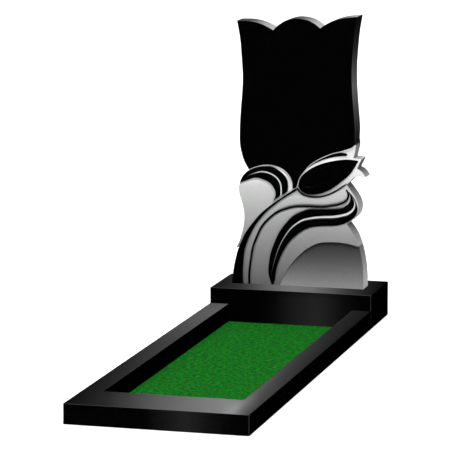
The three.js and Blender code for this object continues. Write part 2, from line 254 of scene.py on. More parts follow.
polishValues = {
    "stone": (0.0002, 0.0002, 0.00025),
    "fleck": (0.006, 0.006, 0.007),
    "fleckScale": 620,
    "fleckPower": 9.0,  # higher for fewer flecks
    "driftScale": 7,  # of the patches in the ground's tone
    "driftDark": 0.6,  # tone of the darker patches, as a share of the stone's
    "polishScale": 3.1,  # of the patches in the polish
    "roughness": (0.015, 0.03),
    "specular": 0.5,
}


# the upright corners, ground and not polished; their lighter stone colour is a painted highlight
cornerHighlightValues = {
    **polishValues,
    "stone": (0.013, 0.013, 0.013),
    "fleck": (0.03, 0.03, 0.03),
    "fleckScale": 900,
    "roughness": (0.3, 0.5),
    "specular": 0.2,
}


# Polished black granite: a near-black ground of tiny crystals with a few silvery flecks, and a
# polish that varies a little from patch to patch.
def polishedFinish(name, values):
    material, n, place, shader = newFinish(name)
    crystals = n.add("ShaderNodeTexVoronoi", None, {"Vector": place, "Scale": values["fleckScale"]})
    chance = n.add("ShaderNodeSeparateColor", None, {0: crystals.outputs["Color"]}).outputs[0]
    drift = n.noise(place, values["driftScale"], 5)
    dark = tuple(values["driftDark"] * v for v in values["stone"])
    ground = n.ramp(drift, [(0.35, dark), (0.7, values["stone"])])
    mix = n.add("ShaderNodeMix", {"data_type": "RGBA"}, {0: n.math("POWER", chance, values["fleckPower"])})
    n.put(mix.inputs[6], ground)
    n.put(mix.inputs[7], (*values["fleck"], 1))
    n.put(shader.inputs["Base Color"], mix.outputs[2])
    polish = n.noise(place, values["polishScale"], 6, 0.6)
    n.put(shader.inputs["Roughness"], n.mapped(polish, *noiseRange, *values["roughness"]))
    shader.inputs["Specular IOR Level"].default_value = values["specular"]
    return material


# The carving is ground granite whose tone holds painted shade: pale at the sepals and darker
# towards the foot. The sides carry painted light and shade of their own. Tones are given at
# heights of the drawing, and at places across it for the petals' tops and for the narrow valleys
# beside the curled leaf and over the bud.
carvedValues = {
    # painted shade: the front is darker towards the foot
    "front": [(0, 0.13), (145, 0.2), (240, 0.265), (325, 0.34), (433, 0.46), (542, 0.68), (640, 0.8)],
    # painted light and shade: each stretch of the sides fades on its own, darker under the arch, and a
    # painted sheen lies about the cup's waist
    "side": [(0, 0.75), (47, 0.4), (107, 0.22), (160, 0.135), (190, 0.105), (194, 0.27), (230, 0.21),
             (265, 0.15), (288, 0.11), (292, 0.55), (333, 0.36), (386, 0.22), (444, 0.13), (464, 0.095),
             (466, 0.35), (500, 0.27), (520, 0.13), (537, 0.075), (538, 0.13), (580, 0.13), (583, 0.33),
             (641, 0.13), (645, 0.004), (716, 0.02), (788, 0.042), (895, 0.09), (1039, 0.022),
             (1110, 0.011), (1182, 0.005), (1208, 0.004)],
    # painted light: each petal's top, and the second sepal's, is lighter towards its right end
    "top": [(-272, 0.035), (-246, 0.033), (-228, 0.037), (-210, 0.067), (-193, 0.1), (-175, 0.163),
            (-158, 0.235), (-140, 0.28), (-112, 0.33), (-105, 0.02), (-51, 0.028), (-33, 0.036),
            (-15, 0.05), (4, 0.057), (22, 0.095), (40, 0.143), (59, 0.2), (77, 0.31), (101, 0.37),
            (104, 0.01), (150, 0.03), (169, 0.06), (187, 0.08), (205, 0.105), (224, 0.16), (242, 0.225),
            (262, 0.28), (288, 0.4)],
    # painted light: the narrow valleys are lightened, place by place, against the shade of the steps beside
    # them
    "valley": [(-221, 0.92), (-120, 0.92), (-90, 0.8), (-66, 0.8), (-55, 0.7), (-42, 0.65), (-10, 0.66),
               (5, 0.86), (60, 0.84), (92, 0.76), (120, 0.84), (145, 0.9), (165, 0.84), (190, 0.74),
               (215, 0.65), (300, 0.6)],
    # the light lines are paler than the carving, partly as painted light against the shade of their
    # grooves, and mostly painted darker towards the foot
    "line": [(80, 0.24), (200, 0.34), (280, 0.5), (330, 0.66), (400, 0.62), (450, 0.64), (480, 0.62),
             (520, 0.5)],
    "arch": [(0, 0.45), (100, 0.8), (205, 0.8)],
    # painted shade: the hollow is darkest under the arch and lighter towards its foot
    "hollow": [(0, 0.26), (40, 0.178), (76, 0.123), (112, 0.082), (143, 0.058), (183, 0.039),
               (205, 0.032)],
    "grain": 0.12,
    "grainScale": 900,
    "roughness": 0.6,
    "specular": 0.1,
    "bump": 0.12,
    "bumpHeight": 0.4,  # millimetres
}


# Ground granite: its lightness, which carries painted light and shade, follows a place on the
# drawing along one axis, times a fine grain of two noises, and the same grain roughens the surface.
def groundFinish(name, tones, axis="Z"):
    values = carvedValues
    material, n, place, shader = newFinish(name)
    along = n.add("ShaderNodeSeparateXYZ", None, {0: place}).outputs[axis]
    start = slabLow[2] / mm if axis == "Z" else 0
    tone = n.curve(along, [((at + start) * mm, v) for at, v in tones])
    fine = n.math("MULTIPLY", n.noise(place, values["grainScale"], 3, 0.7), 0.7)
    grain = n.math("MULTIPLY_ADD", n.noise(place, values["grainScale"] / 9, 4), 0.3, fine)
    spread = n.mapped(grain, *noiseRange, 1 - values["grain"], 1 + values["grain"])
    n.put(shader.inputs["Base Color"], n.scaled(tone, spread))
    height = values["bumpHeight"] * mm
    bump = n.add("ShaderNodeBump", None, {"Strength": values["bump"], "Distance": height, "Height": grain})
    n.put(shader.inputs["Normal"], bump.outputs[0])
    shader.inputs["Roughness"].default_value = values["roughness"]
    shader.inputs["Specular IOR Level"].default_value = values["specular"]
    return material


turfFinishValues = {
    "greens": [(0.4, (0.001, 0.065, 0.002)), (0.5, (0.002, 0.18, 0.005)), (0.6, (0.004, 0.32, 0.008))],
    "olive": (0.035, 0.14, 0.002),
    "blue": (0.001, 0.12, 0.035),
    "patchScale": 55,
    "tintFactors": {"olive": 1.3, "blue": 1.7},  # of the patch scale
    "tintFrom": 0.48,
    "tintTo": 0.62,
    "tintMost": 0.85,
    "shade": (0.4, 1.2),  # at the ground and at the blades' tips
    "roughness": 0.75,
    "specular": 0.04,
}


# Turf: three greens picked by a noise about as wide as a tuft, olive and blue tints laid over
# them by noises of other widths, and all of it darker near the ground.
def turfFinish(values, low, high):
    material, n, place, shader = newFinish("turf")
    scale = values["patchScale"]
    green = n.ramp(n.noise(place, scale, 5, 0.7), values["greens"])
    for tint, factor in values["tintFactors"].items():
        patches = n.noise(place, scale * factor, 5, 0.7)
        amount = n.mapped(patches, values["tintFrom"], values["tintTo"], 0, values["tintMost"])
        mix = n.add("ShaderNodeMix", {"data_type": "RGBA"}, {0: amount})
        n.put(mix.inputs[6], green)
        n.put(mix.inputs[7], (*values[tint], 1))
        green = mix.outputs[2]
    height = n.add("ShaderNodeSeparateXYZ", None, {0: place}).outputs[2]
    n.put(shader.inputs["Base Color"], n.scaled(green, n.mapped(height, low, high, *values["shade"])))
    shader.inputs["Roughness"].default_value = values["roughness"]
    shader.inputs["Specular IOR Level"].default_value = values["specular"]
    return material


slabLow, slabHigh = (np.array(corner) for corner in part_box("headstone"))
turfLow, turfHigh = (np.array(corner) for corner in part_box("turf_bed"))
polished = polishedFinish("polishedGranite", polishValues)
# the painted highlight of the upright corners
cornerHighlightFinish = polishedFinish("paintedCornerHighlight", cornerHighlightValues)
slabFinishes = [
    polished,
    groundFinish("carvedGranitePaintedShade", carvedValues["front"]),
    groundFinish("groundSidesPaintedLight", carvedValues["side"]),
    groundFinish("groundTopsPaintedLight", carvedValues["top"], "X"),
    groundFinish("groundHollowPaintedShade", carvedValues["hollow"]),
    groundFinish("groundLinesPaintedShade", carvedValues["line"]),
    groundFinish("groundArch", carvedValues["arch"]),
    groundFinish("groundValleysPaintedLight", carvedValues["valley"], "X"),
]
polishedSlot, carvedSlot, sideSlot, topSlot, hollowSlot, lineSlot, archSlot, valleySlot = range(8)
green = turfFinish(turfFinishValues, turfLow[2], turfHigh[2])
print("finishes made")


# meshes from arrays

def newPiece(name, vertices, faces, slots, finishes):
    mesh = bpy.data.meshes.new(name)
    mesh.from_pydata(vertices.tolist(), [], faces)
    for finish in finishes:
        mesh.materials.append(finish)
    mesh.polygons.foreach_set("material_index", np.asarray(slots, dtype=np.int32))
    piece = bpy.data.objects.new(name, mesh)
    scene.collection.objects.link(piece)
    return piece


# doubled corners merged, then every face turned outwards
def tidyPiece(piece):
    distance = 0.001 * mm
    work = bmesh.new()
    work.from_mesh(piece.data)
    bmesh.ops.remove_doubles(work, verts=work.verts, dist=distance)
    bmesh.ops.dissolve_degenerate(work, edges=work.edges, dist=distance)
    bmesh.ops.recalc_face_normals(work, faces=work.faces)
    work.to_mesh(piece.data)
    work.free()
    return piece


def shadeSmooth(piece, angle):
    mesh = piece.data
    mesh.polygons.foreach_set("use_smooth", np.ones(len(mesh.polygons), dtype=bool))
    mesh.set_sharp_from_angle(angle=math.radians(angle))


# Each point of a ring moved inwards so that its two edges keep their distances: the offset o
# solves n1.o = d1 and n2.o = d2, n being the inward normals of those edges.
def insetRing(ring, distances):
    edge = np.roll(ring, -1, axis=0) - ring
    edge /= np.linalg.norm(edge, axis=1)[:, None]
    following = np.roll(ring, -1, axis=0)
    turn = np.sign(np.sum(ring[:, 0] * following[:, 1] - ring[:, 1] * following[:, 0]))
    normal = turn * np.stack([-edge[:, 1], edge[:, 0]], axis=1)
    pair = np.stack([np.roll(normal, 1, axis=0), normal], axis=1)
    reach = np.stack([np.roll(distances, 1), distances], axis=1)
    return ring + np.einsum("nij,nj->ni", np.linalg.pinv(pair, rcond=0.02), reach)


# A profile of (inset, depth) points carried round a ring, with flat caps at both ends. Weights
# scale the inset edge by edge, and place turns (ring x, ring y, depth) into a point in space.
def carryRound(name, ring, profile, place, sides, firstCap, lastCap, finishes, weights=None):
    count = len(ring)
    weights = np.ones(count) if weights is None else weights
    levels = [place(*insetRing(ring, weights * inset).T, depth) for inset, depth in profile]
    index = np.arange(count)
    following = np.roll(index, -1)
    faces = []
    for level in range(len(profile) - 1):
        a, b = level * count, (level + 1) * count
        faces += np.stack([index + a, following + a, following + b, index + b], axis=1).tolist()
    faces.append(index[::-1].tolist())
    faces.append((index + (len(profile) - 1) * count).tolist())
    slots = np.concatenate([np.tile(sides, len(profile) - 1), [firstCap, lastCap]])
    return tidyPiece(newPiece(name, np.vstack(levels), faces, slots, finishes))


# A rounded arris as profile points: inset = r (1 - sin a), depth = start + towards r (1 - cos a)
# for a from 0 to 90 degrees, which leaves a flat face and meets the side. A narrow flat margin
# on either side of it keeps the shading of the wide faces flat.
def arrisProfile(radius, start, towards, steps=4):
    margin = radius * 1.2
    angle = np.linspace(0, np.pi / 2, steps + 1)
    profile = [(radius * (1 - math.sin(a)), start + towards * radius * (1 - math.cos(a))) for a in angle]
    return [(margin, start)] + profile + [(0, start + towards * margin)]


# the carved slab

# Its drawing, in sheet units: x from the middle of the foot, z up from the foot. Every stretch
# of the outline names the finish of the side that runs back from it.
sheet = {"left": -300, "right": 307, "top": 1208}
outline = {
    "footLeft": (sideSlot, [(-300, 0), (-293, 60), (-283, 112), (-270, 163)]),
    "leafTip": (sideSlot, [(-270, 163), (-284, 158)]),
    "lobe": (sideSlot, [(-284, 158), (-271, 181), (-259, 215), (-247, 266), (-245, 318), (-254, 362),
                        (-267, 405), (-270, 432), (-265, 453)]),
    "curlShoulder": (sideSlot, [(-265, 453), (-256, 476), (-241, 497), (-221, 514)]),
    "cupLeft": (sideSlot, [(-221, 514), (-245, 556), (-262, 618), (-264, 685), (-260, 775), (-253, 862),
                           (-251, 935), (-256, 1018), (-263, 1098), (-277, 1176)]),
    "petalLeft": (topSlot, [(-277, 1176), (-245, 1177), (-209, 1175), (-162, 1164), (-112, 1140)]),
    "petalMiddle": (topSlot, [(-112, 1140), (-86, 1163), (-50, 1184), (-8, 1193), (39, 1188), (74, 1173),
                              (101, 1153)]),
    "petalRight": (topSlot, [(101, 1153), (128, 1171), (165, 1189), (212, 1201), (268, 1208)]),
    "cupRight": (sideSlot, [(268, 1208), (257, 1140), (250, 1070), (245, 995), (245, 920), (249, 850),
                            (255, 780), (260, 715), (259, 665), (262, 642)]),
    "sepalOne": (sideSlot, [(262, 642), (258, 615), (250, 583)]),
    "sepalTwoTop": (topSlot, [(250, 583), (288, 580)]),
    "sepalTwoUnder": (sideSlot, [(288, 580), (277, 558), (267, 537)]),
    "sepalThreeTop": (sideSlot, [(267, 537), (283, 529), (296, 516), (307, 500)]),
    "sepalThreeUnder": (sideSlot, [(307, 500), (285, 502), (271, 503), (259, 499), (249, 493), (238, 481),
                                   (220, 464)]),
    "curlRight": (sideSlot, [(220, 464), (240, 439), (258, 414), (271, 389), (276, 364), (272, 339),
                             (261, 320), (241, 302), (223, 289)]),
    "footRight": (sideSlot, [(223, 289), (255, 244), (276, 192), (291, 128), (299, 60), (300, 0)]),
    "foot": (polishedSlot, [(300, 0), (-300, 0)]),
}
cupSides = ["cupLeft", "petalLeft", "petalMiddle", "petalRight", "cupRight"]
drawing = {
    "cupOverSepals": [(262, 642), (250, 631), (236, 624), (205, 613), (150, 597), (101, 574), (60, 547),
                      (31, 514), (10, 483), (-2, 441)],
    "cupOverStem": [(-2, 441), (-24, 435)],
    "cupOverCurl": [(-24, 435), (-25, 463), (-40, 497), (-72, 524), (-110, 536), (-150, 537), (-188, 528),
                    (-221, 514)],
    "budTop": [(3, 450), (10, 480), (28, 505), (60, 530), (104, 552), (152, 566), (200, 575), (240, 577),
               (275, 573)],
    "budUnder": [(3, 450), (17, 428), (50, 414), (99, 419), (147, 439), (190, 470), (232, 506),
                 (257, 540), (275, 573)],
    "sliverTop": [(27, 518), (40, 531), (54, 543), (76, 558), (112, 578), (155, 597), (195, 606),
                  (219, 604), (225, 600)],
    "sliverUnder": [(27, 516), (43, 529), (59, 541), (78, 553), (117, 571), (161, 584), (196, 590),
                    (219, 592), (225, 596)],
    "budLine": [(218, 466), (175, 436), (133, 415), (90, 405), (46, 407), (16, 419), (-5, 441)],
    "curlOuter": [(-265, 453), (-256, 477), (-242, 498), (-222, 512), (-189, 526), (-152, 533),
                  (-114, 532), (-76, 510), (-49, 480), (-43, 447), (-46, 423)],
    "curlLine": [(-265, 453), (-244, 472), (-226, 487), (-199, 499), (-165, 508), (-129, 503), (-96, 484),
                 (-77, 453), (-75, 405)],
    "curlInner": [(-265, 453), (-230, 467), (-195, 479), (-156, 473), (-123, 456), (-103, 427),
                  (-101, 403), (-109, 380)],
    "stemLeft": [(-8, 440), (-57, 406), (-116, 364), (-168, 320), (-207, 274), (-237, 232), (-256, 192),
                 (-274, 149), (-290, 100), (-299, 50), (-306, 0)],
    "stemRight": [(-3, 430), (-57, 397), (-107, 359), (-152, 318), (-193, 265), (-222, 209), (-241, 154),
                  (-248, 95), (-250, 45), (-248, 0)],
    "vein": [(221, 443), (228, 428), (229, 414), (225, 400), (211, 386), (183, 375), (150, 368),
             (110, 362), (50, 362), (-10, 358), (-57, 345), (-98, 326), (-134, 296), (-163, 262),
             (-185, 216), (-204, 165), (-214, 104), (-220, 50), (-220, 0)],
    "bladeUpper": [(221, 443), (236, 424), (240, 405), (233, 383), (216, 370), (199, 362), (160, 357),
                   (105, 354), (59, 351), (22, 338), (-19, 316), (-54, 279), (-83, 238), (-105, 190),
                   (-122, 141), (-130, 90), (-131, 50), (-115, 0)],
    "bladeLine": [(221, 443), (243, 423), (256, 397), (259, 373), (250, 353), (233, 339), (211, 330),
                  (165, 320), (112, 316), (67, 310), (21, 297), (-25, 264), (-58, 221), (-83, 174),
                  (-101, 121), (-112, 80), (-119, 40), (-115, 0)],
    "bladeUnder": [(221, 443), (238, 429), (251, 414), (264, 390), (272, 362), (270, 342), (259, 322),
                   (239, 305), (215, 292), (182, 282), (150, 278), (95, 274), (46, 263), (0, 234),
                   (-42, 191), (-74, 135), (-94, 80), (-104, 20), (-115, 0)],
    "greatLeft": [(226, 458), (180, 433), (135, 411), (88, 400), (44, 402), (0, 410), (-50, 392),
                  (-107, 345), (-150, 305), (-189, 258), (-215, 206), (-234, 152), (-241, 95), (-243, 45),
                  (-241, 0)],
    "greatRight": [(233, 424), (216, 398), (165, 379), (110, 371), (50, 371), (-8, 367), (-54, 355),
                   (-94, 336), (-129, 305), (-155, 269), (-177, 220), (-196, 166), (-206, 106),
                   (-212, 50), (-212, 0)],
    "middleLeft": [(190, 371), (160, 362), (110, 354), (50, 354), (-10, 350), (-54, 337), (-93, 318),
                   (-126, 290), (-154, 257), (-177, 213), (-195, 163), (-205, 104), (-211, 50),
                   (-211, 0)],
    "middleRight": [(202, 365), (160, 359), (105, 355), (57, 352), (20, 340), (-21, 318), (-56, 281),
                    (-85, 240), (-107, 191), (-124, 142), (-132, 91), (-133, 50), (-120, 0)],
    "lobeLeft": [(-272, 446), (-280, 425), (-275, 395), (-262, 352), (-252, 312), (-254, 266),
                 (-266, 215), (-290, 163)],
    "lobeRight": [(-255, 450), (-195, 470), (-138, 452), (-110, 405), (-124, 354), (-177, 305),
                  (-220, 252), (-262, 180)],
    "footLeft": [(232, 300), (190, 281), (150, 275), (95, 271), (48, 258), (5, 230), (-37, 187),
                 (-69, 132), (-88, 78), (-100, 25), (-106, 0)],
    "footRight": [(294, 176), (262, 180), (238, 184), (195, 190), (146, 190), (97, 182), (57, 160),
                  (20, 125), (-13, 83), (-42, 42), (-64, 0)],
    "hollowArch": [(-84, -10), (-60, 48), (-31, 94), (6, 138), (49, 174), (96, 198), (146, 205),
                   (195, 205), (240, 199), (273, 191), (330, 180)],
}
drawing["overCurl"] = drawing["cupOverCurl"][::-1]  # upper edges of the narrow valleys
drawing["overBud"] = drawing["cupOverSepals"][::-1]

slabValues = {
    "groundDepth": 12,  # ground of the carving behind the polished face, in millimetres
    "rootDepth": 2,  # how far raised forms go into that ground
    "bandEdge": 4,  # depth of a polished band's edges, its crown reaching the polished face
    "bandPower": 3.0,  # 2 is a round band, more is flatter with rounder edges
    "bandFull": 40,  # width from which a band has its full rise
    "budFull": 80,
    "leafEdge": 8.5,
    "leafCrown": 6,
    "leafPower": 4.0,
    "leafFull": 60,
    "curlLine": {"width": 6, "opens": (0.12, 0.5), "closes": (1.1, 1.2)},  # shares of the run
    "bladeLine": {"width": 10, "opens": (0.04, 0.19), "closes": (0.25, 1.05)},
    "lineFloor": 6.5,  # floor of those light lines
    "lineCrown": 2.5,  # crown of the raised lines
    "linePower": 6.0,
    "lineStart": 0.7,  # width of a raised line at its start, as a share of the whole
    "veinWidth": 9,
    "budLineWidth": 6.5,
    "valleyRise": 0.3,  # ground of the narrow valleys above that of the carving
    "scoopDepth": 12,  # top of the hollow behind the ground of the carving
    "scoopFoot": 6.5,  # depth of the hollow at its foot
    "fillFace": 5.5,  # face of the stone that the hollow is cut into
    "fillOver": 0.5,  # how far that stone passes the arch
    "scoopRows": 40,
    "arris": 1.6,
    "groundArris": 0.8,
    "columns": 13,  # points across a band
    "step": 6,  # length of the pieces that a line is cut into
    "densePoints": 40,  # points worked out between two drawn points, before that cut
    "smoothAngle": 18,
}


# Sheet points at a depth in millimetres behind the polished face, in the frame: the sheet is
# stretched over the box of the slab.
def onSlab(x, z, depth):
    scaleX = (slabHigh[0] - slabLow[0]) / (sheet["right"] - sheet["left"])
    scaleZ = (slabHigh[2] - slabLow[2]) / sheet["top"]
    x, z, depth = np.broadcast_arrays(x, z, depth)
    return np.stack([
        slabLow[0] + (x - sheet["left"]) * scaleX,
        slabLow[1] + depth * mm,
        slabLow[2] + z * scaleZ,
    ], axis=-1)


# The smooth curve through drawn points, cut into even lengths. Between p1 and p2 it is the
# cubic (2 p1 - 2 p2 + v0 + v1) t^3 + (3 p2 - 3 p1 - 2 v0 - v1) t^2 + v0 t + p1 whose slopes v
# are half the chord between the points on either side.
def smoothCurve(points, step=None, count=None):
    dense = np.array(points, dtype=float)
    if len(dense) > 2:
        padded = np.vstack([dense[:1], dense, dense[-1:]])
        t = np.linspace(0, 1, slabValues["densePoints"], endpoint=False)[:, None, None]
        p0, p1, p2, p3 = padded[:-3], padded[1:-2], padded[2:-1], padded[3:]
        v0, v1 = (p2 - p0) / 2, (p3 - p1) / 2
        spans = (2 * p1 - 2 * p2 + v0 + v1) * t**3 + (3 * p2 - 3 * p1 - 2 * v0 - v1) * t**2 + v0 * t + p1
        dense = np.vstack([spans.transpose(1, 0, 2).reshape(-1, 2), dense[-1:]])
    run = np.concatenate([[0], np.cumsum(np.linalg.norm(np.diff(dense, axis=0), axis=1))])
    count = count or max(1, round(run[-1] / step))
    even = np.linspace(0, run[-1], count + 1)
    return np.stack([np.interp(even, run, dense[:, k]) for k in (0, 1)], axis=1)


# A line moved sideways by a distance at each of its points, to the right of its run.
def movedSideways(line, distance):
    run = np.gradient(line, axis=0)
    run /= np.linalg.norm(run, axis=1)[:, None]
    return line + np.stack([run[:, 1], -run[:, 0]], axis=1) * distance[:, None]


def smoothStep(value, low, high):
    t = np.clip((value - low) / (high - low), 0, 1)
    return t * t * (3 - 2 * t)


# A closed shell from a front grid and a back grid of the same size, with walls between them.
def gridShell(name, front, back, frontSlot, wallSlot):
    rows, columns = front.shape[:2]
    a = np.arange(rows * columns).reshape(rows, columns)
    b = a + rows * columns
    face = np.stack([a[:-1, :-1], a[:-1, 1:], a[1:, 1:], a[1:, :-1]], axis=-1).reshape(-1, 4)
    rear = np.stack([b[:-1, :-1], b[1:, :-1], b[1:, 1:], b[:-1, 1:]], axis=-1).reshape(-1, 4)
    rim = np.concatenate([a[0], a[1:, -1], a[-1, -2::-1], a[-2:0:-1, 0]])
    following = np.roll(rim, -1)
    wall = np.stack([following, rim, rim + rows * columns, following + rows * columns], axis=1)
    faces = np.vstack([face, rear, wall])
    slots = np.full(len(faces), wallSlot)
    slots[:len(face)] = frontSlot
    vertices = np.vstack([front.reshape(-1, 3), back.reshape(-1, 3)])
    return tidyPiece(newPiece(name, vertices, faces.tolist(), slots, slabFinishes))


# A band between two side lines. Across it, v from 0 to 1, the depth is
# edge - rise (1 - |2v - 1|^power), and the rise lessens where the band is narrower than full.
def bandShell(name, left, right, edge, crown, full, power, slot, wallSlot=carvedSlot):
    v = 0.5 - 0.5 * np.cos(np.pi * np.linspace(0, 1, slabValues["columns"]))[None, :]
    rise = (edge - crown) * np.minimum(1, np.linalg.norm(right - left, axis=1) / full)[:, None]
    x = left[:, :1] * (1 - v) + right[:, :1] * v
    z = left[:, 1:] * (1 - v) + right[:, 1:] * v
    front = onSlab(x, z, edge - rise * (1 - np.abs(2 * v - 1) ** power))
    back = onSlab(x, z, slabValues["groundDepth"] + slabValues["rootDepth"])
    return gridShell(name, front, back, slot, wallSlot)


def swellingShell(name, leftName, rightName, edge, crown, full, power, slot):
    left = smoothCurve(drawing[leftName], step=slabValues["step"])
    right = smoothCurve(drawing[rightName], count=len(left) - 1)
    return bandShell(name, left, right, edge, crown, full, power, slot)


# A raised line, flatter than a band. Its width grows from a share of the whole over the first
# tenth of its run.
def lineShell(name, width):
    values = slabValues
    line = smoothCurve(drawing[name], step=values["step"])
    grown = smoothStep(np.linspace(0, 1, len(line)), 0, 0.1)
    half = width / 2 * (values["lineStart"] + (1 - values["lineStart"]) * grown)
    return bandShell(name, movedSideways(line, -half), movedSideways(line, half), values["bandEdge"],
                     values["lineCrown"], width, values["linePower"], polishedSlot, polishedSlot)


# Two polished bands with a light line between them, which opens and closes between two shares
# of its run each. The first band lies to the left of that run.
def partedShells(name, leftName, rightName):
    values = slabValues
    lineName = name + "Line"
    line = smoothCurve(drawing[lineName], step=values["step"])
    share = np.linspace(0, 1, len(line))
    opens, closes = values[lineName]["opens"], values[lineName]["closes"]
    half = values[lineName]["width"] / 2 * smoothStep(share, *opens) * (1 - smoothStep(share, *closes))
    wider = half + values["rootDepth"]
    left = smoothCurve(drawing[leftName], count=len(line) - 1)
    right = smoothCurve(drawing[rightName], count=len(line) - 1)
    shape = (values["bandEdge"], 0, values["bandFull"], values["bandPower"], polishedSlot)
    flat = (values["lineFloor"], values["lineFloor"], values["bandFull"], values["bandPower"], lineSlot)
    return [
        bandShell(name + "Left", left, movedSideways(line, -half), *shape),
        bandShell(name + "Right", movedSideways(line, half), right, *shape),
        bandShell(name + "Floor", movedSideways(line, -wider), movedSideways(line, wider), *flat),
    ]


# The room under the arch by the foot, between two depths that each follow the share of height
# z / top. Outward widens it past the arch.
def archShell(name, outward, front, back, frontSlot, wallSlot):
    arch = smoothCurve(drawing["hollowArch"], step=slabValues["step"])
    top = arch[:, 1].max()
    arch = movedSideways(arch, np.full(len(arch), -outward))
    z = arch[0, 1] + (arch[:, 1:] - arch[0, 1]) * np.linspace(0, 1, slabValues["scoopRows"])[None, :]
    x = np.broadcast_to(arch[:, :1], z.shape)
    share = np.clip(z / top, 0, 1)
    return gridShell(name, onSlab(x, z, front(share)), onSlab(x, z, back(share)), frontSlot, wallSlot)


# The hollow: the depth of its floor is foot + fall z / top. The room is filled with stone first,
# then cut out as far as that floor.
def hollowShells():
    values = slabValues
    ground, root = values["groundDepth"], values["groundDepth"] + values["rootDepth"]
    foot = values["scoopFoot"]
    fall = ground + values["scoopDepth"] - foot
    fill = archShell("hollowFill", values["fillOver"], lambda share: values["fillFace"], lambda share: root,
                     carvedSlot, carvedSlot)
    cut = archShell("hollow", 0, lambda share: foot + fall * share, lambda share: -ground,
                    hollowSlot, archSlot)
    return fill, cut


# The stone joined with, less or within another shell, which is then put away.
def combine(stone, other, operation):
    modifier = stone.modifiers.new("combine", "BOOLEAN")
    modifier.solver = "MANIFOLD"
    modifier.operation = operation
    modifier.object = other
    bpy.context.view_layer.update()
    ready = stone.evaluated_get(bpy.context.evaluated_depsgraph_get())
    mesh = bpy.data.meshes.new_from_object(ready)
    old = stone.data
    stone.modifiers.clear()
    stone.data = mesh
    bpy.data.meshes.remove(old)
    bpy.data.objects.remove(other)


def ringOf(stretches):
    points, sides = [], []
    for slot, drawn in stretches:
        line = smoothCurve(drawn, step=slabValues["step"])[:-1]
        points.append(line)
        sides += [slot] * len(line)
    return np.vstack(points), np.array(sides)


def buildHeadstone():
    values = slabValues
    ground, root = values["groundDepth"], values["groundDepth"] + values["rootDepth"]
    thick = (slabHigh[1] - slabLow[1]) / mm

    # the whole slab, its front lying at the ground of the carving
    silhouette, sides = ringOf(outline.values())
    front = [(values["groundArris"], ground), (0, ground + values["groundArris"])]
    back = arrisProfile(values["arris"], thick, -1)[::-1]
    stone = carryRound("slab", silhouette, front + back, onSlab, sides, carvedSlot, polishedSlot,
                       slabFinishes)

    # what stands up from it: the cup's face, bands, raised lines, leaves and valleys
    cup, cupSlots = ringOf([outline[name] for name in cupSides] + [
        (carvedSlot, drawing["cupOverSepals"]),
        (carvedSlot, drawing["cupOverStem"]),
        (carvedSlot, drawing["cupOverCurl"]),
    ])
    face = arrisProfile(values["arris"], 0, 1)
    edge, full, power = values["bandEdge"], values["bandFull"], values["bandPower"]
    valley = ground - values["valleyRise"]
    shells = [
        carryRound("cup", cup, face + [(0, root)], onSlab, cupSlots, polishedSlot, carvedSlot,
                   slabFinishes),
        swellingShell("bud", "budTop", "budUnder", edge, 0, values["budFull"], power, polishedSlot),
        swellingShell("sliver", "sliverTop", "sliverUnder", edge, 0, full, power, polishedSlot),
        swellingShell("stem", "stemLeft", "stemRight", edge, 0, full, power, polishedSlot),
        *partedShells("curl", "curlOuter", "curlInner"),
        *partedShells("blade", "bladeUnder", "bladeUpper"),
        lineShell("vein", values["veinWidth"]),
        lineShell("budLine", values["budLineWidth"]),
    ]
    leafShape = [values[key] for key in ("leafEdge", "leafCrown", "leafFull", "leafPower")]
    for leaf in ("great", "middle", "lobe", "foot"):
        shells.append(swellingShell(leaf, leaf + "Left", leaf + "Right", *leafShape, carvedSlot))
    for name, lower in (("overCurl", "curlOuter"), ("overBud", "budTop")):
        shells.append(swellingShell(name, name, lower, valley, valley, full, power, valleySlot))
    for shell in shells:
        combine(stone, shell, "UNION")

    fill, cut = hollowShells()
    combine(stone, fill, "UNION")
    combine(stone, cut, "DIFFERENCE")

    # whatever passes the silhouette is cut off
    trim = carryRound("trim", silhouette, [(0, -1), (0, thick)], onSlab, sides, polishedSlot, polishedSlot,
                      slabFinishes)
    combine(stone, trim, "INTERSECT")
    stone.name = "carvedSlab"
    shadeSmooth(stone, values["smoothAngle"])
    return stone


headstone = buildHeadstone()
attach(headstone, "root")
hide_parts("headstone")
print("headstone carved:", len(headstone.data.polygons), "faces")


# the plinth and the kerb stones

blockValues = {
    "arris": 1.3,
    "corner": 3.0,  # radius of the upright corners
    "cornerSteps": 4,
    "gap": 0.3,  # between a side kerb and the turf bed
    "blend": 0.1,  # length over which the front kerb's arris dies out at a side kerb
    "smoothAngle": 30,
}


def inPlan(x, y, height):
    x, y, height = np.broadcast_arrays(x, y, height)
    return np.stack([x, y, height], axis=-1)


# A rectangle whose corners are rounded by a radius, counterclockwise, as a ring of points with
# a narrow flat margin on either side of each corner.
def rectangleRing(low, high, radius):
    turn = np.linspace(0, np.pi / 2, blockValues["cornerSteps"] + 1)
    points = []
    corners = [(high[0], high[1]), (low[0], high[1]), (low[0], low[1]), (high[0], low[1])]
    for k, (x, y) in enumerate(corners):
        angle = turn + k * np.pi / 2
        middle = np.array([x, y]) - radius * np.sign(np.array([math.cos(angle[2]), math.sin(angle[2])]))
        corner = middle + radius * np.stack([np.cos(angle), np.sin(angle)], axis=1)
        run = 0.2 * radius * np.stack([-np.sin(angle), np.cos(angle)], axis=1)
        points.append(np.vstack([corner[0] - run[0], corner, corner[-1] + run[-1]]))
    return np.vstack(points)


# slot 1, the painted corner highlight, on the short stretches of a ring, which go round its corners
def cornerHighlightSlots(ring):
    lengths = np.linalg.norm(np.roll(ring, -1, axis=0) - ring, axis=1)
    return (lengths < blockValues["corner"] * mm).astype(int)


